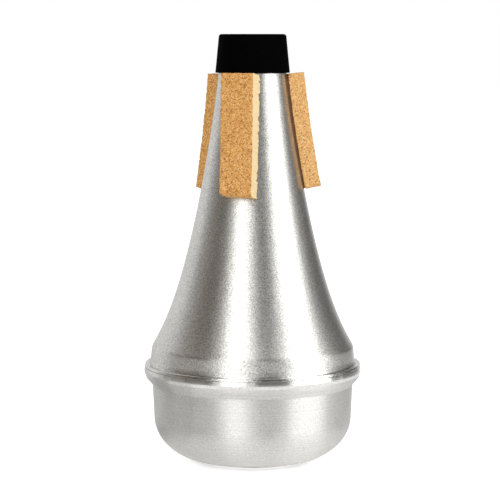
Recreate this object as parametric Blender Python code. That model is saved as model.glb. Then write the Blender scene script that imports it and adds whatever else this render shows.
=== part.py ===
"""Straight mute for a trumpet: a spun aluminium cone closed by a spun base cup, with a rubber
sleeve on its open tip and three cork strips cemented round its upper end.

Units are metres and +Z is up. The mute stands on its base, the axis of the turned pieces is Z,
and the origin is the centre of the flat foot under the base. Azimuths are turned about Z from
the front, which faces -Y, and they are positive towards +X.
"""
import math

import bmesh
import bpy
from mathutils import Matrix, Vector

# Driving heights
HEIGHT = 0.170
CONE_TOP = 0.1684
SLEEVE_BOTTOM = 0.15475
SHOULDER_Z = 0.0459
LAND_BEND_Z = 0.0408
DOME_CREST_Z = 0.0391
LAND_BOTTOM = 0.0388
DOME_BOTTOM = 0.0379
LIP_TOP = 0.0376
SEAM_WIDEST_Z = 0.0361
LAP_END = 0.0365
SEAM_FLANK_Z = 0.0335
SEAM_BOTTOM = 0.0305
BASE_CORNER_Z = 0.0176

# Driving radii, all outside the sheet
CONE_TIP_RADIUS = 0.0135
LAND_TOP_RADIUS = 0.0403
LAND_BEND_RADIUS = 0.04087
LAND_BOTTOM_RADIUS = 0.04127
DOME_CREST_RADIUS = 0.0430
DOME_EDGE_RADIUS = 0.0432
LIP_RADIUS = 0.04324
SEAM_RADIUS = 0.0435
SEAM_FLANK_RADIUS = 0.0426
WALL_TOP_RADIUS = 0.04013
WALL_BOTTOM_RADIUS = 0.03951
FOOT_RADIUS = 0.01785

# The cone widens with its length: a straight taper, a gentle bow, and a late flare
CONE_TAPER = 0.111
CONE_BOW = 0.01065
CONE_FLARE = 0.00411
CONE_FLARE_POWER = 7.9
CONE_LENGTH = SLEEVE_BOTTOM - SHOULDER_Z
SHOULDER_ROUND = 0.004
# Where the cone's rows end, just above the arc that rounds the shoulder
LAST_ROW_Z = SHOULDER_Z + 0.25 * SHOULDER_ROUND

# Sheet metal and fits
SHEET = 0.0008
GAP = 0.00028
LAND_BEND_ROUND = 0.016
DOME_CREST_ROUND = 0.0003
SEAM_WIDEST_ROUND = 0.0022
SEAM_FLANK_ROUND = 0.0025
SEAM_FOOT_ROUND = 0.0005
# Outside radius of the cone's edge where it laps down inside the base's lip
LAP_RADIUS = LIP_RADIUS - SHEET - GAP

# Rubber sleeve
SLEEVE_TOP_RADIUS = 0.0133
SLEEVE_BOTTOM_RADIUS = 0.01478
SLEEVE_LIP_RADIUS = 0.0113
SLEEVE_TOP_ROUND = 0.0011
SLEEVE_EDGE_ROUND = 0.0003

# Cork strips: flat across their width, bent along their length to lie on the cone
CORK_WIDTH = 0.0132
CORK_FACE = 0.0061
CORK_BACK = 0.0008
CORK_BACK_HOLLOW = 0.00055
CORK_EDGE_BEVEL = 0.0004
CORK_STATIONS = 12
CORK_BACK_POINTS = 7

# Cement beds under the strips
CEMENT_WIDTH = 0.0112
CEMENT_END_MARGIN = 0.0011

# Each strip's azimuth in degrees, then three pairs for its top and bottom ends: the height on the
# cone, the drift sideways off its azimuth, and how much an end cut rises per unit of width
STRIPS = {
    "front": {
        "azimuth": -16.6,
        "heights": (0.15435, 0.10640),
        "drifts": (-0.0005, 0.0009),
        "slants": (0.0, -0.03),
    },
    "right": {
        "azimuth": 100.7,
        "heights": (0.15425, 0.10870),
        "drifts": (0.0003, -0.0003),
        "slants": (-0.03, 0.0),
    },
    "left": {
        "azimuth": -137.6,
        "heights": (0.15370, 0.10720),
        "drifts": (-0.0002, 0.0003),
        "slants": (0.0, 0.0),
    },
}
# The share of a strip's length over which a slanted end cut fades out
SLANT_REACH = 0.25

# Mesh fineness
SEGMENTS = 48
CONE_ROWS = 13
ROW_CROWDING = 1.5
BASE_CORNER_ROWS = 7
ARC_STEP = math.radians(30)
SMOOTH_ANGLE = math.radians(35)
SAME_PLACE = 1e-7


def clear_scene():
    for old in list(bpy.data.objects):
        bpy.data.objects.remove(old, do_unlink=True)


def material(name, color, roughness, metallic):
    made = bpy.data.materials.new(name)
    made.use_nodes = True
    shader = made.node_tree.nodes["Principled BSDF"]
    shader.inputs["Base Color"].default_value = (*color, 1.0)
    shader.inputs["Roughness"].default_value = roughness
    shader.inputs["Metallic"].default_value = metallic
    made.diffuse_color = (*color, 1.0)
    return made


def finish_object(name, bm, made_of, parent):
    """Turns a bmesh into a smooth-shaded object that faces outwards and has one material."""
    bmesh.ops.recalc_face_normals(bm, faces=bm.faces)
    mesh = bpy.data.meshes.new(name)
    bm.to_mesh(mesh)
    bm.free()
    mesh.materials.append(made_of)
    mesh.shade_smooth()
    mesh.set_sharp_from_angle(angle=SMOOTH_ANGLE)
    made = bpy.data.objects.new(name, mesh)
    made.parent = parent
    bpy.context.scene.collection.objects.link(made)
    return made


# Outlines, as lists of (radius, height)


def cone_radius(z):
    """Outside radius of the cone. Above the sleeve's lower edge the taper runs on straight."""
    down = SLEEVE_BOTTOM - z
    share = max(down, 0.0) / CONE_LENGTH
    return CONE_TIP_RADIUS + CONE_TAPER * down + CONE_BOW * share**2 + CONE_FLARE * share**CONE_FLARE_POWER


def cone_slope(z):
    """How fast the outside radius grows downwards."""
    share = max(SLEEVE_BOTTOM - z, 0.0) / CONE_LENGTH
    bow = 2.0 * CONE_BOW * share
    flare = CONE_FLARE_POWER * CONE_FLARE * share ** (CONE_FLARE_POWER - 1.0)
    return CONE_TAPER + (bow + flare) / CONE_LENGTH


def arc_at(before, corner, after, radius):
    """Points of the arc that rounds one corner, from the side of before to the side of after."""
    to_before = (before - corner).normalized()
    to_after = (after - corner).normalized()
    half = to_before.angle(to_after) / 2.0
    middle = (to_before + to_after).normalized()
    centre = corner + middle * (radius / math.sin(half))
    start = corner + to_before * (radius / math.tan(half)) - centre
    turn = math.pi - 2.0 * half
    side = 1.0 if start.cross(corner - centre) > 0.0 else -1.0
    steps = max(1, math.ceil(turn / ARC_STEP))
    points = []
    for step in range(steps + 1):
        points.append(centre + Matrix.Rotation(side * turn * step / steps, 2) @ start)
    return points


def rounded(corners):
    """An open run through (x, z, radius) corners, with an arc at each corner that has a radius."""
    places = [Vector(corner[:2]) for corner in corners]
    run = []
    for index, (x, z, radius) in enumerate(corners):
        if radius > 0.0:
            run.extend(arc_at(places[index - 1], places[index], places[index + 1], radius))
        else:
            run.append(Vector((x, z)))
    return run


def inner_side(outer, thickness):
    """The other side of a sheet whose outer side runs down from the top, outside on the +X side."""
    inner = []
    last = len(outer) - 1
    for index, point in enumerate(outer):
        before = outer[max(index - 1, 0)]
        after = outer[min(index + 1, last)]
        into = (point - before).normalized() if index > 0 else (after - point).normalized()
        out_of = (after - point).normalized() if index < last else into
        across = Vector((into.y + out_of.y, -(into.x + out_of.x))).normalized()
        stretch = across.dot(Vector((into.y, -into.x)))
        inner.append(point + across * (thickness / stretch))
    return inner


def cone_outline():
    """The cone's sheet: tip, flare, shoulder and land, then the dome of the seam, whose crest
    stands a little above the land's foot. Under the dome the sheet steps in, and its edge laps
    down inside the base's lip."""
    body = [Vector((cone_radius(CONE_TOP), CONE_TOP))]
    for row in range(CONE_ROWS):
        share = row / (CONE_ROWS - 1)
        z = SLEEVE_BOTTOM + (LAST_ROW_Z - SLEEVE_BOTTOM) * (1.0 - (1.0 - share) ** ROW_CROWDING)
        body.append(Vector((cone_radius(z), z)))
    shoulder = Vector((LAND_TOP_RADIUS, SHOULDER_Z))
    land_bend = Vector((LAND_BEND_RADIUS, LAND_BEND_Z))
    land_end = Vector((LAND_BOTTOM_RADIUS, LAND_BOTTOM))
    crest = Vector((DOME_CREST_RADIUS, DOME_CREST_Z))
    dome_edge = Vector((DOME_EDGE_RADIUS, DOME_BOTTOM))
    body.extend(arc_at(body[-1], shoulder, land_bend, SHOULDER_ROUND))
    body.extend(arc_at(shoulder, land_bend, land_end, LAND_BEND_ROUND))
    body.append(land_end)
    dome = arc_at(land_end, crest, dome_edge, DOME_CREST_ROUND)
    dome.append(dome_edge)
    lap = [Vector((LAP_RADIUS, DOME_BOTTOM)), Vector((LAP_RADIUS, LAP_END))]
    # The inside follows the sheet as far as the lap's inner side, then runs straight down it
    inner = inner_side(body + [crest], SHEET)
    lap_inside = LAP_RADIUS - SHEET
    share = (lap_inside - inner[-2].x) / (inner[-1].x - inner[-2].x)
    inner[-1] = inner[-2].lerp(inner[-1], share)
    inner.append(Vector((lap_inside, LAP_END)))
    return body + dome + lap + inner[::-1]


def base_outline():
    """The base cup's sheet, from the lip under the cone's dome down to the foot's centre."""
    lip = Vector((LIP_RADIUS, LIP_TOP))
    widest = Vector((SEAM_RADIUS, SEAM_WIDEST_Z))
    flank = Vector((SEAM_FLANK_RADIUS, SEAM_FLANK_Z))
    seam_foot = Vector((WALL_TOP_RADIUS, SEAM_BOTTOM))
    wall_foot = Vector((WALL_BOTTOM_RADIUS, BASE_CORNER_Z))
    outer = [lip]
    outer.extend(arc_at(lip, widest, flank, SEAM_WIDEST_ROUND))
    outer.extend(arc_at(widest, flank, seam_foot, SEAM_FLANK_ROUND))
    outer.extend(arc_at(flank, seam_foot, wall_foot, SEAM_FOOT_ROUND))
    corner_width = WALL_BOTTOM_RADIUS - FOOT_RADIUS
    for row in range(BASE_CORNER_ROWS + 1):
        angle = math.pi / 2.0 * row / BASE_CORNER_ROWS
        r = FOOT_RADIUS + corner_width * math.cos(angle)
        outer.append(Vector((r, BASE_CORNER_Z * (1.0 - math.sin(angle)))))
    outer.append(Vector((0.0, 0.0)))
    return outer + inner_side(outer, SHEET)[::-1]


def sleeve_outline():
    """The rubber sleeve: a wall that follows the cone, and a lip turned in over the cone's edge."""
    bore_bottom = cone_radius(SLEEVE_BOTTOM) + GAP
    under_lip = CONE_TOP + GAP
    bore_top = cone_radius(under_lip) + GAP
    corners = [
        (SLEEVE_LIP_RADIUS, under_lip, 0.0),
        (SLEEVE_LIP_RADIUS, HEIGHT, SLEEVE_EDGE_ROUND),
        (SLEEVE_TOP_RADIUS, HEIGHT, SLEEVE_TOP_ROUND),
        (SLEEVE_BOTTOM_RADIUS, SLEEVE_BOTTOM, SLEEVE_EDGE_ROUND),
        (bore_bottom, SLEEVE_BOTTOM, 0.0),
        (bore_top, under_lip, 0.0),
    ]
    return rounded(corners)


def turned(name, outline, made_of, parent):
    """Spins a closed outline about Z. The stretch of an outline that lies on Z makes no face."""
    bm = bmesh.new()
    verts = [bm.verts.new((point.x, 0.0, point.y)) for point in outline]
    for first, second in zip(verts, verts[1:] + verts[:1]):
        if first.co.x + second.co.x > SAME_PLACE:
            bm.edges.new((first, second))
    bmesh.ops.spin(
        bm,
        geom=bm.verts[:] + bm.edges[:],
        axis=(0.0, 0.0, 1.0),
        cent=(0.0, 0.0, 0.0),
        steps=SEGMENTS,
        angle=2.0 * math.pi,
        use_merge=True,
    )
    bmesh.ops.remove_doubles(bm, verts=bm.verts, dist=SAME_PLACE)
    return finish_object(name, bm, made_of, parent)


# Cork strips and the cement under them. Each is made facing -Y, and its object is turned about Z


def on_cone(foot_z, sideways, above):
    """A point at a height above the cone's surface, over the generator that faces -Y."""
    slope = cone_slope(foot_z)
    cosine = 1.0 / math.hypot(1.0, slope)
    r = cone_radius(foot_z) + above * cosine
    return Vector((sideways, -r, foot_z + above * slope * cosine))


def cone_drop(foot_z, sideways):
    """How far the cone's surface falls away behind its tangent plane, at a distance sideways."""
    bend = cone_radius(foot_z) * math.hypot(1.0, cone_slope(foot_z))
    return bend - math.sqrt(bend**2 - sideways**2)


def back_hollow(sideways):
    """The depth of the cork's hollow back below its middle, at a distance sideways."""
    return CORK_BACK_HOLLOW * (2.0 * sideways / CORK_WIDTH) ** 2


def strip_station(strip, share):
    """Height on the cone, sideways drift and slant at a share of the length from the top."""
    top_z, bottom_z = strip["heights"]
    top_drift, bottom_drift = strip["drifts"]
    top_slant, bottom_slant = strip["slants"]
    foot_z = top_z + (bottom_z - top_z) * share
    drift = top_drift + (bottom_drift - top_drift) * share
    near_top = max(0.0, 1.0 - share / SLANT_REACH)
    near_bottom = max(0.0, 1.0 - (1.0 - share) / SLANT_REACH)
    return foot_z, drift, top_slant * near_top + bottom_slant * near_bottom


def spread(width, count):
    return [width * (index / (count - 1) - 0.5) for index in range(count)]


def cork_section():
    """A strip's section as (sideways, above): its face with two bevelled edges, then its back."""
    half = CORK_WIDTH / 2.0
    bevel = CORK_EDGE_BEVEL
    face = [(-half, CORK_FACE - bevel), (-half + bevel, CORK_FACE)]
    face += [(half - bevel, CORK_FACE), (half, CORK_FACE - bevel)]
    back = [(across, CORK_BACK - back_hollow(across)) for across in spread(CORK_WIDTH, CORK_BACK_POINTS)]
    return face + back[::-1]


def cement_section(foot_z, drift):
    """A cement bed's section: it fills the wedge between the cone and the cork's hollow back."""
    places = spread(CEMENT_WIDTH, CORK_BACK_POINTS)
    upper = [(across, CORK_BACK - GAP - back_hollow(across)) for across in places]
    lower = [(across, GAP - cone_drop(foot_z, across + drift)) for across in places]
    return upper + lower[::-1]


def skin(bm, rings):
    """Bridges rings of vertices into a tube and closes its two ends."""
    count = len(rings[0])
    for upper, lower in zip(rings, rings[1:]):
        for index in range(count):
            following = (index + 1) % count
            bm.faces.new((upper[index], upper[following], lower[following], lower[index]))
    bm.faces.new(rings[0])
    bm.faces.new(rings[-1][::-1])


def cork_strip(name, strip, made_of, parent):
    bm = bmesh.new()
    rings = []
    for station in range(CORK_STATIONS):
        foot_z, drift, slant = strip_station(strip, station / (CORK_STATIONS - 1))
        ring = []
        for across, above in cork_section():
            ring.append(bm.verts.new(on_cone(foot_z + slant * across, across + drift, above)))
        rings.append(ring)
    skin(bm, rings)
    made = finish_object(name, bm, made_of, parent)
    made.rotation_euler.z = math.radians(strip["azimuth"])
    return made


def cement_bed(name, strip, made_of, parent):
    bm = bmesh.new()
    top_z, bottom_z = strip["heights"]
    margin = CEMENT_END_MARGIN / (top_z - bottom_z)
    rings = []
    for station in range(CORK_STATIONS):
        share = margin + (1.0 - 2.0 * margin) * station / (CORK_STATIONS - 1)
        foot_z, drift, _ = strip_station(strip, share)
        ring = []
        for across, above in cement_section(foot_z, drift):
            ring.append(bm.verts.new(on_cone(foot_z, across + drift, above)))
        rings.append(ring)
    skin(bm, rings)
    made = finish_object(name, bm, made_of, parent)
    made.rotation_euler.z = math.radians(strip["azimuth"])
    return made


def main():
    clear_scene()
    mute = bpy.data.objects.new("mute_axis", None)
    bpy.context.scene.collection.objects.link(mute)

    cone_metal = material("spun_aluminium_cone", (0.76, 0.76, 0.74), 0.32, 1.0)
    base_metal = material("spun_aluminium_base", (0.78, 0.78, 0.77), 0.38, 1.0)
    rubber = material("black_rubber", (0.012, 0.012, 0.012), 0.75, 0.0)

    turned("cone_shell", cone_outline(), cone_metal, mute)
    turned("base_cup", base_outline(), base_metal, mute)
    turned("tip_sleeve", sleeve_outline(), rubber, mute)
    for side, strip in STRIPS.items():
        cork = material("cork_" + side, (0.72, 0.40, 0.15), 0.85, 0.0)
        cement = material("cement_" + side, (0.16, 0.07, 0.03), 0.5, 0.0)
        cork_strip("cork_strip_" + side, strip, cork, mute)
        cement_bed("cork_cement_" + side, strip, cement, mute)


main()
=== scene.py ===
"""Looks of the trumpet straight mute: spun aluminium, cut cork, cement and black rubber.

The turned pieces are made again here from the same driving dimensions as the solids, with far
finer steps, and each one replaces its node. Units are metres, +Z is up, and the photo is taken
from -Y. Azimuths are in degrees about Z, 0 towards the camera and positive towards +X.
"""
import math

import bmesh
import bpy
import numpy as np
from mathutils import Matrix, Vector, noise

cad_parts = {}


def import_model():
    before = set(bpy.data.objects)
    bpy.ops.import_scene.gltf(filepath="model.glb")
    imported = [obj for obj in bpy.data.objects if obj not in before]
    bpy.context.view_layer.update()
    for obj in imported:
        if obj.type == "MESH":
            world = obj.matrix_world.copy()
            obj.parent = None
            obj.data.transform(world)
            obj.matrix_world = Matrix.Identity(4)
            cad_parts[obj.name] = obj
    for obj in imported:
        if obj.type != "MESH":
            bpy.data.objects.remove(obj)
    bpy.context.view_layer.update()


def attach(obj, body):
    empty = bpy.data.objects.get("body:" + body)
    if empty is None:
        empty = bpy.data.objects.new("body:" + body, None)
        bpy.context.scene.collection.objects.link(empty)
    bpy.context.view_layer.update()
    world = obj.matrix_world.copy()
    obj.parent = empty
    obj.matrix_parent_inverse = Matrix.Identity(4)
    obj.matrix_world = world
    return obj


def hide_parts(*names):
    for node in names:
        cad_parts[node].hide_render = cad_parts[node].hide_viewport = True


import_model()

# Camera, from the fit to the photo
PICTURE_SIDE = 500.0
CAMERA_DISTANCE = 0.820
CAMERA_HEIGHT = 0.168
CAMERA_PITCH = 5.837
FOCAL_PIXELS = 2063.2
AXIS_PIXELS_RIGHT = 2.6
SENSOR = 36.0

# Turned pieces, as in the solids
HEIGHT = 0.170
CONE_TOP = 0.1684
SLEEVE_BOTTOM = 0.15475
SHOULDER_Z = 0.0459
LAND_BEND_Z = 0.0408
LAND_BOTTOM = 0.0388
DOME_CREST_Z = 0.0391
SEAM_WIDEST_Z = 0.0358
LAP_END = 0.0365
SEAM_FLANK_Z = 0.0335
SEAM_BOTTOM = 0.0305
BASE_CORNER_Z = 0.0176
CONE_TIP_RADIUS = 0.0135
LAND_TOP_RADIUS = 0.0403
LAND_BEND_RADIUS = 0.04087
LAND_BOTTOM_RADIUS = 0.04127
DOME_CREST_RADIUS = 0.0430
DOME_EDGE_RADIUS = 0.0432
LIP_RADIUS = 0.04324
SEAM_RADIUS = 0.0435
SEAM_FLANK_RADIUS = 0.0426
WALL_TOP_RADIUS = 0.04013
WALL_BOTTOM_RADIUS = 0.03951
FOOT_RADIUS = 0.01785
CONE_TAPER = 0.111
CONE_BOW = 0.01065
CONE_FLARE = 0.00411
CONE_FLARE_POWER = 7.9
CONE_LENGTH = SLEEVE_BOTTOM - SHOULDER_Z
SHOULDER_ROUND = 0.004
LAST_ROW_Z = SHOULDER_Z + 0.25 * SHOULDER_ROUND
LAND_BEND_ROUND = 0.016
LAND_FILLET = 0.0002
DOME_CREST_ROUND = 0.0003
SEAM_WIDEST_ROUND = 0.0022
SEAM_FLANK_ROUND = 0.0025
SEAM_FOOT_ROUND = 0.0004
SHEET = 0.0008
# The seam closes tighter here than in the solids, with a rounded edge on each side of its line,
# and its widest ring sits 0.3 mm lower
FIT = 0.0001
DOME_BOTTOM = 0.0379
LIP_TOP = DOME_BOTTOM - FIT
DOME_EDGE_ROUND = 0.00006
LIP_EDGE_ROUND = 0.00008
LAP_RADIUS = LIP_RADIUS - SHEET - FIT
SLEEVE_TOP_RADIUS = 0.0133
SLEEVE_BOTTOM_RADIUS = 0.01478
SLEEVE_LIP_RADIUS = 0.0113

# Cork strips, as in the solids, but with backs that reach down to the cement
CORK_WIDTH = 0.0132
CORK_FACE = 0.0061
CORK_BACK = 0.00035
CORK_BACK_HOLLOW = 0.0009
# Each strip's pale sides are a painted highlight, set per side from how the lamps fall on it
STRIPS = {
    "front": {
        "azimuth": -16.6, "heights": (0.15435, 0.10640), "drifts": (-0.0005, 0.0009), "slants": (0.0, -0.03),
        "worn_corner": (0.0011, 0.0014), "painted_pale_sides": (0.2, 0.85), "foot_spread": 0.0008, "chips": 0.0008,
    },
    "right": {
        "azimuth": 100.7, "heights": (0.15425, 0.10870), "drifts": (0.0003, -0.0003), "slants": (-0.03, 0.0),
        "worn_corner": (0.0006, 0.0005), "painted_pale_sides": (0.15, 0.3), "foot_spread": 0.0, "chips": 0.0004,
    },
    "left": {
        "azimuth": -137.6, "heights": (0.15370, 0.10720), "drifts": (-0.0002, 0.0003), "slants": (0.0, 0.0),
        "worn_corner": (0.0006, 0.0005), "painted_pale_sides": (0.2, 0.0), "foot_spread": 0.0, "chips": 0.0003,
    },
}
SLANT_REACH = 0.25
CEMENT_WIDTH = 0.0122

SEGMENTS = 240

# Two fine lines pressed into the roll under the seam, as (height, depth, half width)
GROOVES = [(0.03195, 0.00012, 0.00013), (0.03075, 0.00012, 0.00013)]


# Small helpers


def link_object(name, mesh):
    made = bpy.data.objects.new(name, mesh)
    bpy.context.scene.collection.objects.link(made)
    return made


def node(tree, kind, place=None, **values):
    """Adds a shader node and sets its properties and its unlinked inputs by name."""
    made = tree.nodes.new(kind)
    for name, value in values.items():
        if name in made.inputs.keys():
            made.inputs[name].default_value = value
        else:
            setattr(made, name, value)
    return made


def put(made, **inputs):
    for name, value in inputs.items():
        made.inputs[name.replace("_", " ")].default_value = value
    return made


def new_material(name):
    made = bpy.data.materials.new(name)
    made.use_nodes = True
    tree = made.node_tree
    return made, tree, tree.nodes["Principled BSDF"]


def ramp(tree, stops, source, interpolation="LINEAR"):
    """A colour ramp fed by a socket. Stops are (position, colour) with a grey or an RGB colour."""
    made = tree.nodes.new("ShaderNodeValToRGB")
    made.color_ramp.interpolation = interpolation
    elements = made.color_ramp.elements
    while len(elements) < len(stops):
        elements.new(0.5)
    for element, (position, color) in zip(elements, stops):
        element.position = position
        color = (color, color, color) if isinstance(color, float) else color
        element.color = (*color, 1.0)
    tree.links.new(source, made.inputs["Fac"])
    return made.outputs["Color"]


def math_node(tree, operation, first, second):
    made = tree.nodes.new("ShaderNodeMath")
    made.operation = operation
    for index, value in enumerate((first, second)):
        if isinstance(value, (int, float)):
            made.inputs[index].default_value = value
        else:
            tree.links.new(value, made.inputs[index])
    return made.outputs[0]


def mix_colors(tree, blend_type, factor, first, second):
    made = tree.nodes.new("ShaderNodeMix")
    made.data_type = "RGBA"
    made.blend_type = blend_type
    for socket, value in ((made.inputs[0], factor), (made.inputs[6], first), (made.inputs[7], second)):
        if isinstance(value, (int, float)):
            socket.default_value = value
        elif isinstance(value, tuple):
            socket.default_value = (*value, 1.0)
        else:
            tree.links.new(value, socket)
    return made.outputs[2]


# Outlines of the turned pieces, as lists of (radius, height)


def cone_radius(z):
    down = SLEEVE_BOTTOM - z
    share = max(down, 0.0) / CONE_LENGTH
    return CONE_TIP_RADIUS + CONE_TAPER * down + CONE_BOW * share**2 + CONE_FLARE * share**CONE_FLARE_POWER


def cone_slope(z):
    share = max(SLEEVE_BOTTOM - z, 0.0) / CONE_LENGTH
    flare = CONE_FLARE_POWER * CONE_FLARE * share ** (CONE_FLARE_POWER - 1.0)
    return CONE_TAPER + (2.0 * CONE_BOW * share + flare) / CONE_LENGTH


def arc_at(before, corner, after, radius, steps):
    """Points of the arc that rounds one corner, from the side of before to the side of after."""
    to_before = (before - corner).normalized()
    to_after = (after - corner).normalized()
    half = to_before.angle(to_after) / 2.0
    centre = corner + (to_before + to_after).normalized() * (radius / math.sin(half))
    start = corner + to_before * (radius / math.tan(half)) - centre
    turn = math.pi - 2.0 * half
    side = 1.0 if start.cross(corner - centre) > 0.0 else -1.0
    return [centre + Matrix.Rotation(side * turn * step / steps, 2) @ start for step in range(steps + 1)]


def straight(start, end, steps):
    """Points along a straight run, without its two ends."""
    return [start.lerp(end, step / steps) for step in range(1, steps)]


def inner_side(outer, thickness):
    """The other face of a sheet whose outer face runs down from the top."""
    inner = []
    last = len(outer) - 1
    for index, point in enumerate(outer):
        before = outer[max(index - 1, 0)]
        after = outer[min(index + 1, last)]
        into = (point - before).normalized() if index > 0 else (after - point).normalized()
        out_of = (after - point).normalized() if index < last else into
        across = Vector((into.y + out_of.y, -(into.x + out_of.x))).normalized()
        stretch = across.dot(Vector((into.y, -into.x)))
        inner.append(point + across * (thickness / stretch))
    return inner


def cone_outline():
    body = [Vector((cone_radius(CONE_TOP), CONE_TOP))]
    rows = 150
    for row in range(rows + 1):
        z = SLEEVE_BOTTOM + (LAST_ROW_Z - SLEEVE_BOTTOM) * row / rows
        body.append(Vector((cone_radius(z), z)))
    shoulder = Vector((LAND_TOP_RADIUS, SHOULDER_Z))
    land_bend = Vector((LAND_BEND_RADIUS, LAND_BEND_Z))
    land_end = Vector((LAND_BOTTOM_RADIUS, LAND_BOTTOM))
    crest = Vector((DOME_CREST_RADIUS, DOME_CREST_Z))
    dome_edge = Vector((DOME_EDGE_RADIUS, DOME_BOTTOM))
    ledge = Vector((LAP_RADIUS, DOME_BOTTOM))
    body.extend(arc_at(body[-1], shoulder, land_bend, SHOULDER_ROUND, 12))
    body.extend(arc_at(shoulder, land_bend, land_end, LAND_BEND_ROUND, 8))
    dome = arc_at(land_bend, land_end, crest, LAND_FILLET, 6)
    dome.extend(arc_at(land_end, crest, dome_edge, DOME_CREST_ROUND, 8))
    edge = arc_at(crest, dome_edge, ledge, DOME_EDGE_ROUND, 6)
    dome.extend(straight(dome[-1], edge[0], 4) + edge)
    lap = [ledge, Vector((LAP_RADIUS, LAP_END))]
    inner = inner_side(body[::3] + [land_end, crest], SHEET)
    lap_inside = LAP_RADIUS - SHEET
    share = (lap_inside - inner[-2].x) / (inner[-1].x - inner[-2].x)
    inner[-1] = inner[-2].lerp(inner[-1], share)
    inner.append(Vector((lap_inside, LAP_END)))
    return body + dome + lap + inner[::-1]


def grooved(point):
    """Sinks a point of the seam's flank where one of the fine grooves runs."""
    dent = sum(depth * math.exp(-(((point.y - middle) / width) ** 2)) for middle, depth, width in GROOVES)
    return Vector((point.x - dent, point.y))


def base_outline():
    lip_inside = Vector((LIP_RADIUS - SHEET, LIP_TOP))
    lip = Vector((LIP_RADIUS, LIP_TOP))
    widest = Vector((SEAM_RADIUS, SEAM_WIDEST_Z))
    flank = Vector((SEAM_FLANK_RADIUS, SEAM_FLANK_Z))
    seam_foot = Vector((WALL_TOP_RADIUS, SEAM_BOTTOM))
    wall_foot = Vector((WALL_BOTTOM_RADIUS, BASE_CORNER_Z))
    edge = [lip_inside] + arc_at(lip_inside, lip, widest, LIP_EDGE_ROUND, 6)
    outer = arc_at(lip, widest, flank, SEAM_WIDEST_ROUND, 8)
    bend = arc_at(widest, flank, seam_foot, SEAM_FLANK_ROUND, 10)
    outer.extend(straight(outer[-1], bend[0], 10) + bend)
    fillet = arc_at(flank, seam_foot, wall_foot, SEAM_FOOT_ROUND, 6)
    outer.extend(straight(outer[-1], fillet[0], 60) + fillet)
    outer.extend(straight(outer[-1], wall_foot, 24))
    corner_width = WALL_BOTTOM_RADIUS - FOOT_RADIUS
    for row in range(61):
        angle = math.pi / 2.0 * row / 60
        r = FOOT_RADIUS + corner_width * math.cos(angle)
        outer.append(Vector((r, BASE_CORNER_Z * (1.0 - math.sin(angle)))))
    outer.extend(straight(outer[-1], Vector((0.0, 0.0)), 12))
    inner = inner_side(outer[::3] + [Vector((0.0, 0.0))], SHEET)
    outer = [grooved(point) for point in outer]
    return edge + outer + [Vector((0.0, 0.0))] + inner[::-1]


def sleeve_outline():
    bore_bottom = Vector((cone_radius(SLEEVE_BOTTOM) + FIT, SLEEVE_BOTTOM))
    under_lip = CONE_TOP + FIT
    lip_low = Vector((SLEEVE_LIP_RADIUS, under_lip))
    lip_high = Vector((SLEEVE_LIP_RADIUS, HEIGHT))
    shoulder = Vector((SLEEVE_TOP_RADIUS, HEIGHT))
    hem = Vector((SLEEVE_BOTTOM_RADIUS, SLEEVE_BOTTOM))
    outline = [lip_low]
    outline.extend(arc_at(lip_low, lip_high, shoulder, 0.0004, 8))
    outline.extend(arc_at(lip_high, shoulder, hem, 0.0011, 14))
    outline.extend(straight(outline[-1], hem, 30))
    outline.extend(arc_at(shoulder, hem, bore_bottom, 0.0003, 6))
    outline.append(bore_bottom)
    outline.append(Vector((cone_radius(under_lip) + FIT, under_lip)))
    return outline


def turned(name, outline, material, wobble=None):
    """Spins a closed outline about Z with quads, and shades it smooth."""
    count = len(outline)
    verts, rings = [], []
    angles = [2.0 * math.pi * step / SEGMENTS for step in range(SEGMENTS)]
    for point in outline:
        if point.x < 1e-7:
            rings.append([len(verts)] * SEGMENTS)
            verts.append((0.0, 0.0, point.y))
            continue
        rings.append(list(range(len(verts), len(verts) + SEGMENTS)))
        for angle in angles:
            extra = wobble(point, angle) if wobble else 0.0
            r = point.x + extra
            verts.append((r * math.cos(angle), r * math.sin(angle), point.y))
    faces = []
    for index in range(count):
        first, second = rings[index], rings[(index + 1) % count]
        for step in range(SEGMENTS):
            following = (step + 1) % SEGMENTS
            corners = (first[step], second[step], second[following], first[following])
            kept = tuple(dict.fromkeys(corners))
            if len(kept) > 2:
                faces.append(kept)
    mesh = bpy.data.meshes.new(name)
    mesh.from_pydata(verts, [], faces)
    bm = bmesh.new()
    bm.from_mesh(mesh)
    bmesh.ops.recalc_face_normals(bm, faces=bm.faces)
    bm.to_mesh(mesh)
    bm.free()
    mesh.materials.append(material)
    mesh.shade_smooth()
    mesh.set_sharp_from_angle(angle=math.radians(40))
    return link_object(name, mesh)


# Materials


def noise_texture(tree, place, scale, detail=2.0, roughness=0.6, dimensions="3D"):
    made = node(tree, "ShaderNodeTexNoise", noise_dimensions=dimensions)
    put(made, Scale=scale, Detail=detail, Roughness=roughness)
    tree.links.new(place, made.inputs["W" if dimensions == "1D" else "Vector"])
    return made.outputs["Fac"]


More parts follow.
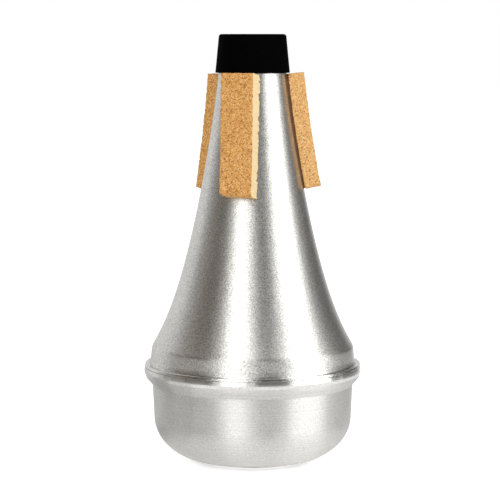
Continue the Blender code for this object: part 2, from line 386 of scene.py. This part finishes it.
def spun_metal(name, color, roughness, anisotropy, grain, ring, burnish):
    """Aluminium turned on a lathe: fine rings round the axis, and a satin grain that sparkles."""
    made, tree, shader = new_material(name)
    links = tree.links
    place = node(tree, "ShaderNodeTexCoord").outputs["Object"]
    split = node(tree, "ShaderNodeSeparateXYZ")
    links.new(place, split.inputs[0])
    tangent = node(tree, "ShaderNodeTangent", direction_type="RADIAL", axis="Z")
    links.new(tangent.outputs[0], shader.inputs["Tangent"])
    shader.inputs["Metallic"].default_value = 1.0
    shader.inputs["Specular Tint"].default_value = (0.8, 0.8, 0.8, 1.0)
    shader.inputs["Anisotropic"].default_value = anisotropy
    shader.inputs["Anisotropic Rotation"].default_value = 0.25

    # Height along the axis alone gives the turning marks, and a stretched noise the short hairlines
    rings = noise_texture(tree, split.outputs["Z"], ring["scale"], 4.0, 0.65, "1D")
    stretch = node(tree, "ShaderNodeMapping")
    stretch.inputs["Scale"].default_value = (ring["around"], ring["around"], 1.0)
    links.new(place, stretch.inputs["Vector"])
    hair = noise_texture(tree, stretch.outputs[0], ring["hair"], 3.0)
    speckle = noise_texture(tree, place, grain["scale"], 1.0, 0.7)
    cloud = noise_texture(tree, place, 60.0, 3.0, 0.5)

    tinted = mix_colors(tree, "MULTIPLY", 1.0, color, ramp(tree, [(0.3, 0.93), (0.7, 1.0)], cloud))
    tinted = mix_colors(tree, "MULTIPLY", 1.0, tinted, ramp(tree, [(0.3, ring["dark"]), (0.6, 1.0)], rings))
    tinted = mix_colors(tree, "MULTIPLY", 1.0, tinted, ramp(tree, [(0.35, grain["dark"]), (0.62, grain["pale"])], speckle))
    links.new(tinted, shader.inputs["Base Color"])

    # The seam's roll is burnished smoother than the rest, fully so past a given height
    start, full, amount = burnish
    share = math_node(tree, "MULTIPLY", math_node(tree, "SUBTRACT", split.outputs["Z"], start), 1.0 / (full - start))
    share = math_node(tree, "MINIMUM", math_node(tree, "MAXIMUM", share, 0.0), 1.0)
    rough = math_node(tree, "ADD", math_node(tree, "MULTIPLY", rings, 0.08), roughness - 0.04)
    rough = math_node(tree, "SUBTRACT", rough, math_node(tree, "MULTIPLY", share, amount))
    links.new(rough, shader.inputs["Roughness"])

    height = math_node(tree, "MULTIPLY", speckle, grain["height"])
    height = math_node(tree, "ADD", height, math_node(tree, "MULTIPLY", hair, ring["height"]))
    height = math_node(tree, "ADD", height, math_node(tree, "MULTIPLY", rings, ring["height"]))
    bump = node(tree, "ShaderNodeBump")
    put(bump, Strength=1.0, Distance=1.0)
    links.new(height, bump.inputs["Height"])
    links.new(bump.outputs[0], shader.inputs["Normal"])
    return made


def rubber():
    made, tree, shader = new_material("black_rubber")
    place = node(tree, "ShaderNodeTexCoord").outputs["Object"]
    grain = noise_texture(tree, place, 1800.0, 3.0)
    tree.links.new(ramp(tree, [(0.3, 0.0006), (0.75, 0.0022)], grain), shader.inputs["Base Color"])
    tree.links.new(ramp(tree, [(0.3, 0.65), (0.7, 0.8)], grain), shader.inputs["Roughness"])
    shader.inputs["Specular IOR Level"].default_value = 0.006
    bump = node(tree, "ShaderNodeBump")
    put(bump, Strength=0.6, Distance=0.00005)
    tree.links.new(grain, bump.inputs["Height"])
    tree.links.new(bump.outputs[0], shader.inputs["Normal"])
    return made


def cork_material():
    """Agglomerated cork: pressed granules, each with its own tone, and darker bark specks."""
    made, tree, shader = new_material("agglomerated_cork")
    links = tree.links
    place = node(tree, "ShaderNodeTexCoord").outputs["Object"]
    warp = node(tree, "ShaderNodeTexNoise")
    put(warp, Scale=1400.0, Detail=2.0)
    links.new(place, warp.inputs["Vector"])
    bent = node(tree, "ShaderNodeVectorMath", operation="MULTIPLY_ADD")
    links.new(warp.outputs["Color"], bent.inputs[0])
    bent.inputs[1].default_value = (0.0004, 0.0004, 0.0004)
    links.new(place, bent.inputs[2])
    cells = node(tree, "ShaderNodeTexVoronoi", feature="F1")
    put(cells, Scale=2500.0, Randomness=1.0)
    links.new(bent.outputs[0], cells.inputs["Vector"])
    tone = node(tree, "ShaderNodeSeparateColor")
    links.new(cells.outputs["Color"], tone.inputs[0])
    granule = ramp(
        tree,
        [
            (0.0, (0.36, 0.130, 0.028)),
            (0.14, (0.64, 0.285, 0.075)),
            (0.45, (0.82, 0.402, 0.114)),
            (0.75, (0.90, 0.485, 0.155)),
            (1.0, (1.0, 0.670, 0.310)),
        ],
        tone.outputs["Red"],
    )
    big = noise_texture(tree, place, 420.0, 2.0)
    granule = mix_colors(tree, "MULTIPLY", 1.0, granule, ramp(tree, [(0.35, 0.90), (0.65, 1.0)], big))
    # The sides are painted a paler cream: a painted highlight, strongest on the front strip's right side, which faces
    # the right-hand lamps
    painted_lit_side = node(tree, "ShaderNodeAttribute", attribute_name="painted_lit_side").outputs["Fac"]
    granule = mix_colors(tree, "MIX", painted_lit_side, granule, (0.93, 0.76, 0.44))
    bark = noise_texture(tree, place, 2400.0, 2.0, 0.7)
    dark = ramp(tree, [(0.62, 0.0), (0.67, 1.0)], bark)
    # The dark specks fade where the sides carry the painted highlight
    dark = math_node(tree, "MULTIPLY", dark, math_node(tree, "SUBTRACT", 0.9, math_node(tree, "MULTIPLY", painted_lit_side, 0.6)))
    links.new(mix_colors(tree, "MIX", dark, granule, (0.30, 0.095, 0.018)), shader.inputs["Base Color"])
    links.new(ramp(tree, [(0.3, 0.78), (0.7, 0.92)], bark), shader.inputs["Roughness"])
    shader.inputs["Specular IOR Level"].default_value = 0.2
    bump = node(tree, "ShaderNodeBump")
    put(bump, Strength=0.7, Distance=0.00010)
    links.new(bark, bump.inputs["Height"])
    links.new(bump.outputs[0], shader.inputs["Normal"])
    return made


def cement_material():
    made, tree, shader = new_material("contact_cement")
    place = node(tree, "ShaderNodeTexCoord").outputs["Object"]
    lumps = noise_texture(tree, place, 700.0, 3.0)
    tone = ramp(tree, [(0.3, (0.10, 0.034, 0.009)), (0.7, (0.26, 0.10, 0.034))], lumps)
    tree.links.new(tone, shader.inputs["Base Color"])
    tree.links.new(ramp(tree, [(0.3, 0.35), (0.7, 0.65)], lumps), shader.inputs["Roughness"])
    bump = node(tree, "ShaderNodeBump")
    put(bump, Strength=0.8, Distance=0.0001)
    tree.links.new(lumps, bump.inputs["Height"])
    tree.links.new(bump.outputs[0], shader.inputs["Normal"])
    return made


# Cork strips


def on_cone(foot_z, sideways, above):
    slope = cone_slope(foot_z)
    cosine = 1.0 / math.hypot(1.0, slope)
    r = cone_radius(foot_z) + above * cosine
    return Vector((sideways, -r, foot_z + above * slope * cosine))


def cone_drop(foot_z, sideways):
    bend = cone_radius(foot_z) * math.hypot(1.0, cone_slope(foot_z))
    return bend - math.sqrt(bend**2 - sideways**2)


def strip_station(strip, share):
    top_z, bottom_z = strip["heights"]
    top_drift, bottom_drift = strip["drifts"]
    top_slant, bottom_slant = strip["slants"]
    foot_z = top_z + (bottom_z - top_z) * share
    drift = top_drift + (bottom_drift - top_drift) * share
    near_top = max(0.0, 1.0 - share / SLANT_REACH)
    near_bottom = max(0.0, 1.0 - (1.0 - share) / SLANT_REACH)
    return foot_z, drift, top_slant * near_top + bottom_slant * near_bottom


def crumble(place, seed, edge, chip_depth):
    """How far a point of the cork's surface sinks: granules, pits, and chips along the edges."""
    spot = place * 1000.0 + Vector((seed, 2.0 * seed, -seed))
    grains = noise.voronoi(spot * 1.6)[0]
    pits = max(0.0, noise.noise(spot * 1.9) - 0.2)
    sink = 0.00007 * (grains[0] - 0.35) + 0.00022 * pits + 0.00006 * noise.noise(spot * 0.35)
    chips = max(0.0, noise.noise(spot * 0.9) + 0.05) + 0.5 * max(0.0, noise.noise(spot * 0.45))
    return sink + chip_depth * chips * edge


def worn_limits(strip, foot_z):
    """The strip's half widths to its left and right, less where a lower corner is rubbed off."""
    left = right = CORK_WIDTH / 2.0
    height = foot_z - strip["heights"][1]
    cut_high, cut_wide = strip["worn_corner"]
    if height < cut_high:
        left -= cut_wide * (1.0 - height / cut_high) ** 1.3
    return left, right


def foot_spread(strip, share, foot_z):
    """How far the right side's foot stands out of square, which its ragged cut makes uneven."""
    ragged = noise.noise(Vector((foot_z * 900.0, 0.3, 5.1))) + 0.6 * noise.noise(Vector((foot_z * 2100.0, 7.7, 1.9)))
    return strip["foot_spread"] * (1.0 - 0.6 * share + 0.4 * ragged)


def cork_strip(name, strip, material, seed):
    """A bent block of cork, gridded finely and then crumbled along its normals."""
    length = strip["heights"][0] - strip["heights"][1]
    along, across, deep = int(length / 0.0003), 44, 20
    block = bmesh.new()
    # A face attribute that says how much painted highlight each face carries
    painted_lit_side = block.faces.layers.float.new("painted_lit_side")
    index = {}

    def corner(i, j, k):
        if (i, j, k) not in index:
            foot_z, drift, slant = strip_station(strip, i / along)
            left, right = worn_limits(strip, foot_z)
            right += foot_spread(strip, i / along, foot_z) * (1.0 - k / deep)
            side = -left + (left + right) * j / across
            back = CORK_BACK - CORK_BACK_HOLLOW * (2.0 * side / CORK_WIDTH) ** 2
            above = back + (CORK_FACE - back) * k / deep
            index[i, j, k] = block.verts.new(on_cone(foot_z + slant * side, side + drift, above))
        return index[i, j, k]

    def patch(corners, pale):
        face = block.faces.new([corner(*place) for place in corners])
        face[painted_lit_side] = pale

    # How much painted highlight each side and end carries, strongest on the front strip's right side
    left_pale, right_pale = strip["painted_pale_sides"]
    for i in range(along):
        for j in range(across):
            for k in (0, deep):
                patch(((i, j, k), (i + 1, j, k), (i + 1, j + 1, k), (i, j + 1, k)), 0.0)
        for k in range(deep):
            for j, pale in ((0, left_pale), (across, right_pale)):
                patch(((i, j, k), (i + 1, j, k), (i + 1, j, k + 1), (i, j, k + 1)), pale)
    for j in range(across):
        for k in range(deep):
            for i in (0, along):
                patch(((i, j, k), (i, j + 1, k), (i, j + 1, k + 1), (i, j, k + 1)), 0.15)
    bmesh.ops.recalc_face_normals(block, faces=block.faces)
    block.normal_update()
    moved = []
    for (i, j, k), vert in index.items():
        near = sorted((min(i, along - i) * 0.0003, min(j, across - j) * 0.0003, min(k, deep - k) * 0.0003))
        edge = max(0.0, 1.0 - near[1] / 0.0009)
        moved.append((vert, vert.co - vert.normal * (0.00005 + crumble(vert.co, seed, edge, strip["chips"]))))
    for vert, place in moved:
        vert.co = place
    mesh = bpy.data.meshes.new(name)
    block.to_mesh(mesh)
    block.free()
    mesh.materials.append(material)
    mesh.shade_smooth()
    made = link_object(name, mesh)
    made.data.transform(Matrix.Rotation(math.radians(strip["azimuth"]), 4, "Z"))
    return made


def cement_bed(name, strip, material, seed):
    """The film between cone and cork, squeezed out unevenly along its edges."""
    stations, count = 90, 13
    bm = bmesh.new()
    rings = []
    for station in range(stations + 1):
        share = 0.012 + 0.976 * station / stations
        foot_z, drift, _ = strip_station(strip, share)
        wave = noise.noise(Vector((seed, station * 0.21, 0.0))) * 0.0004
        upper, lower = [], []
        for place in range(count):
            side = (CEMENT_WIDTH + wave) * (place / (count - 1) - 0.5)
            hollow = CORK_BACK_HOLLOW * (2.0 * side / CORK_WIDTH) ** 2
            upper.append(on_cone(foot_z, side + drift, CORK_BACK + 0.00006 - hollow))
            lower.append(on_cone(foot_z, side + drift, 0.00004 - cone_drop(foot_z, side + drift)))
        rings.append([bm.verts.new(point) for point in upper + lower[::-1]])
    for first, second in zip(rings, rings[1:]):
        for place in range(len(first)):
            following = (place + 1) % len(first)
            bm.faces.new((first[place], first[following], second[following], second[place]))
    bm.faces.new(rings[0])
    bm.faces.new(rings[-1][::-1])
    bmesh.ops.recalc_face_normals(bm, faces=bm.faces)
    mesh = bpy.data.meshes.new(name)
    bm.to_mesh(mesh)
    bm.free()
    mesh.materials.append(material)
    mesh.shade_smooth()
    mesh.set_sharp_from_angle(angle=math.radians(40))
    made = link_object(name, mesh)
    made.data.transform(Matrix.Rotation(math.radians(strip["azimuth"]), 4, "Z"))
    return made


# Studio


def around(azimuth, distance, height=0.0):
    angle = math.radians(azimuth)
    return Vector((distance * math.sin(angle), -distance * math.cos(angle), height))


def camera():
    data = bpy.data.cameras.new("photo_camera")
    data.sensor_width = SENSOR
    data.lens = FOCAL_PIXELS / PICTURE_SIDE * SENSOR
    data.clip_start = 0.01
    made = bpy.data.objects.new("photo_camera", data)
    made.location = (0.0, -CAMERA_DISTANCE, CAMERA_HEIGHT)
    turn = math.atan(AXIS_PIXELS_RIGHT / FOCAL_PIXELS)
    made.rotation_euler = (math.radians(90.0 - CAMERA_PITCH), 0.0, turn)
    bpy.context.scene.collection.objects.link(made)
    bpy.context.scene.camera = made


def softbox(name, azimuth, distance, width, low, high, radiance, color=(1.0, 1.0, 1.0)):
    """An upright area lamp that faces the mute. Its power follows from the radiance wanted."""
    data = bpy.data.lights.new(name, "AREA")
    data.shape = "RECTANGLE"
    data.size = width
    data.size_y = high - low
    data.energy = radiance * math.pi * width * (high - low)
    data.color = color
    made = bpy.data.objects.new(name, data)
    made.location = around(azimuth, distance, (low + high) / 2.0)
    made.rotation_euler = (math.radians(90.0), 0.0, math.radians(azimuth))
    made.visible_camera = False
    bpy.context.scene.collection.objects.link(made)
    return made


def card_material(name, gray, glow=0.0, tint=(1.0, 1.0, 1.0)):
    made, tree, shader = new_material(name)
    shader.inputs["Base Color"].default_value = (*(gray * share for share in tint), 1.0)
    shader.inputs["Roughness"].default_value = 1.0
    shader.inputs["Specular IOR Level"].default_value = 0.0
    shader.inputs["Emission Color"].default_value = (1.0, 1.0, 1.0, 1.0)
    shader.inputs["Emission Strength"].default_value = glow
    return made


def card(name, azimuth_from, azimuth_to, distance, low, high, material):
    """A bent upright card round the mute between two azimuths, hidden from the camera."""
    steps = 8
    verts, faces = [], []
    for step in range(steps + 1):
        azimuth = azimuth_from + (azimuth_to - azimuth_from) * step / steps
        verts.extend((around(azimuth, distance, low), around(azimuth, distance, high)))
    for step in range(steps):
        first = 2 * step
        faces.append((first, first + 2, first + 3, first + 1))
    mesh = bpy.data.meshes.new(name)
    mesh.from_pydata(verts, [], faces)
    mesh.materials.append(material)
    made = link_object(name, mesh)
    made.visible_camera = False
    made.visible_diffuse = False
    made.visible_shadow = False
    return made


def floor_card(name, azimuth_from, azimuth_to, near, far, material):
    """A flat card on the floor in a sector round the mute, which only reflections see."""
    steps = 8
    verts, faces = [], []
    for step in range(steps + 1):
        azimuth = azimuth_from + (azimuth_to - azimuth_from) * step / steps
        verts.extend((around(azimuth, near, 0.0003), around(azimuth, far, 0.0003)))
    for step in range(steps):
        first = 2 * step
        faces.append((first, first + 1, first + 3, first + 2))
    mesh = bpy.data.meshes.new(name)
    mesh.from_pydata(verts, [], faces)
    mesh.materials.append(material)
    made = link_object(name, mesh)
    made.visible_camera = False
    made.visible_diffuse = False
    made.visible_shadow = False
    return made


def camera_or_gloss(tree):
    """1 for camera, glossy and transmission rays, 0 for the rest."""
    path = node(tree, "ShaderNodeLightPath")
    seen = math_node(tree, "ADD", path.outputs["Is Camera Ray"], path.outputs["Is Glossy Ray"])
    return math_node(tree, "MINIMUM", math_node(tree, "ADD", seen, path.outputs["Is Transmission Ray"]), 1.0)


def world(white, fill):
    made = bpy.data.worlds.new("studio")
    bpy.context.scene.world = made
    made.use_nodes = True
    tree = made.node_tree
    background = tree.nodes["Background"]
    background.inputs["Color"].default_value = (1.0, 1.0, 1.0, 1.0)
    seen = camera_or_gloss(tree)
    strength = math_node(tree, "ADD", math_node(tree, "MULTIPLY", seen, white - fill), fill)
    tree.links.new(strength, background.inputs["Strength"])


def floor(glow):
    """A pale floor whose white comes from a glow that only camera and mirror rays see."""
    side = 6.0
    mesh = bpy.data.meshes.new("floor")
    mesh.from_pydata([(-side, -side, 0.0), (side, -side, 0.0), (side, side, 0.0), (-side, side, 0.0)], [], [(0, 1, 2, 3)])
    made_of, tree, shader = new_material("floor_white")
    shader.inputs["Base Color"].default_value = (0.75, 0.75, 0.75, 1.0)
    shader.inputs["Roughness"].default_value = 0.6
    shader.inputs["Specular IOR Level"].default_value = 0.2
    shader.inputs["Emission Color"].default_value = (1.0, 1.0, 1.0, 1.0)
    tree.links.new(math_node(tree, "MULTIPLY", camera_or_gloss(tree), glow), shader.inputs["Emission Strength"])
    mesh.materials.append(made_of)
    made = link_object("floor", mesh)
    made.location.z = -0.0002


def studio():
    bpy.context.scene.view_settings.view_transform = "Standard"
    camera()
    world(1.0, 0.46)
    floor(0.66)
    warm = (1.17, 1.0, 0.86)
    black = card_material("card_black", 0.11, tint=(1.05, 1.0, 0.93))
    umber = card_material("card_umber", 0.115, tint=warm)
    dark = card_material("card_dark", 0.20)
    brown = card_material("card_brown", 0.26, tint=warm)
    gray = card_material("card_gray", 0.43)
    pale = card_material("card_pale", 0.80)
    softbox("soft_left_low", -20.3, 1.15, 0.50, 0.0, 0.8, 1.65)
    softbox("soft_left_high", -21.2, 1.15, 0.52, 0.8, 3.2, 2.8)
    softbox("soft_right_low", 66.0, 1.05, 0.88, 0.0, 0.75, 1.8)
    softbox("soft_right_high", 79.2, 1.05, 0.96, 0.75, 2.6, 2.5)
    card("flag_front", 3.0, 38.0, 1.0, 0.0, 3.2, black)
    card("flag_right", 104.0, 148.0, 0.45, 0.0, 0.5, dark)
    card("flag_right_low", 90.0, 104.0, 0.9, 0.0, 0.5, dark)
    card("flag_right_edge", 94.0, 104.0, 0.9, 0.5, 2.0, gray)
    card("flag_left_pale", -116.0, -106.0, 0.9, 0.0, 2.8, pale)
    card("flag_left_gray", -106.0, -92.0, 0.9, 0.0, 2.8, gray)
    card("flag_left_brown", -92.0, -76.0, 0.9, 0.0, 2.8, brown)
    card("flag_left", -76.0, -41.0, 0.9, 0.0, 2.8, umber)
    card("flag_left_edge", -62.0, -45.0, 0.88, 0.36, 2.8, umber)
    # A dark disc under the base that only reflections see: a painted shadow of the mute on the floor
    floor_card("painted_shadow_under", -180.0, 180.0, 0.001, 0.026, card_material("floor_under_card", 0.3))
    # Cards on the floor that only reflections see: painted shade on the floor away from the lamps and in the mute's
    # shadow, each with a weak glow that is painted light
    floor_card("floor_back", -175.0, -118.0, 0.05, 0.6, card_material("floor_back_card", 0.8, 0.22))
    floor_card("floor_side", -118.0, -88.0, 0.05, 0.6, card_material("floor_side_card", 0.55, 0.22))
    floor_card("floor_front", -88.0, -56.0, 0.05, 0.6, card_material("floor_front_card", 0.75, 0.36))


def main():
    cone_metal = spun_metal(
        "cone_aluminium", (0.675, 0.665, 0.632), 0.33, 0.1,
        {"scale": 3000.0, "dark": 0.50, "pale": 1.30, "height": 0.000034},
        {"scale": 1500.0, "around": 0.06, "hair": 2500.0, "dark": 0.96, "height": 0.0000015},
        (0.0394, 0.0390, 0.14),
    )
    base_metal = spun_metal(
        "base_aluminium", (0.69, 0.68, 0.657), 0.45, 0.88,
        {"scale": 2600.0, "dark": 0.80, "pale": 1.08, "height": 0.000010},
        {"scale": 2200.0, "around": 0.05, "hair": 2500.0, "dark": 0.87, "height": 0.0000035},
        (0.0345, 0.0352, 0.23),
    )
    cone = turned("cone", cone_outline(), cone_metal)
    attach(cone, "root")
    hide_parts("cone_shell")
    base = turned("base", base_outline(), base_metal)
    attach(base, "root")
    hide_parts("base_cup")
    sleeve = turned("sleeve", sleeve_outline(), rubber())
    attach(sleeve, "root")
    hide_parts("tip_sleeve")
    cork, cement = cork_material(), cement_material()
    for seed, (side, strip) in enumerate(STRIPS.items()):
        block = cork_strip("cork_" + side, strip, cork, 3.7 + 11.0 * seed)
        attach(block, "root")
        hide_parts("cork_strip_" + side)
        bed = cement_bed("cement_" + side, strip, cement, 5.3 + 7.0 * seed)
        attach(bed, "root")
        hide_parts("cork_cement_" + side)
    studio()


main()
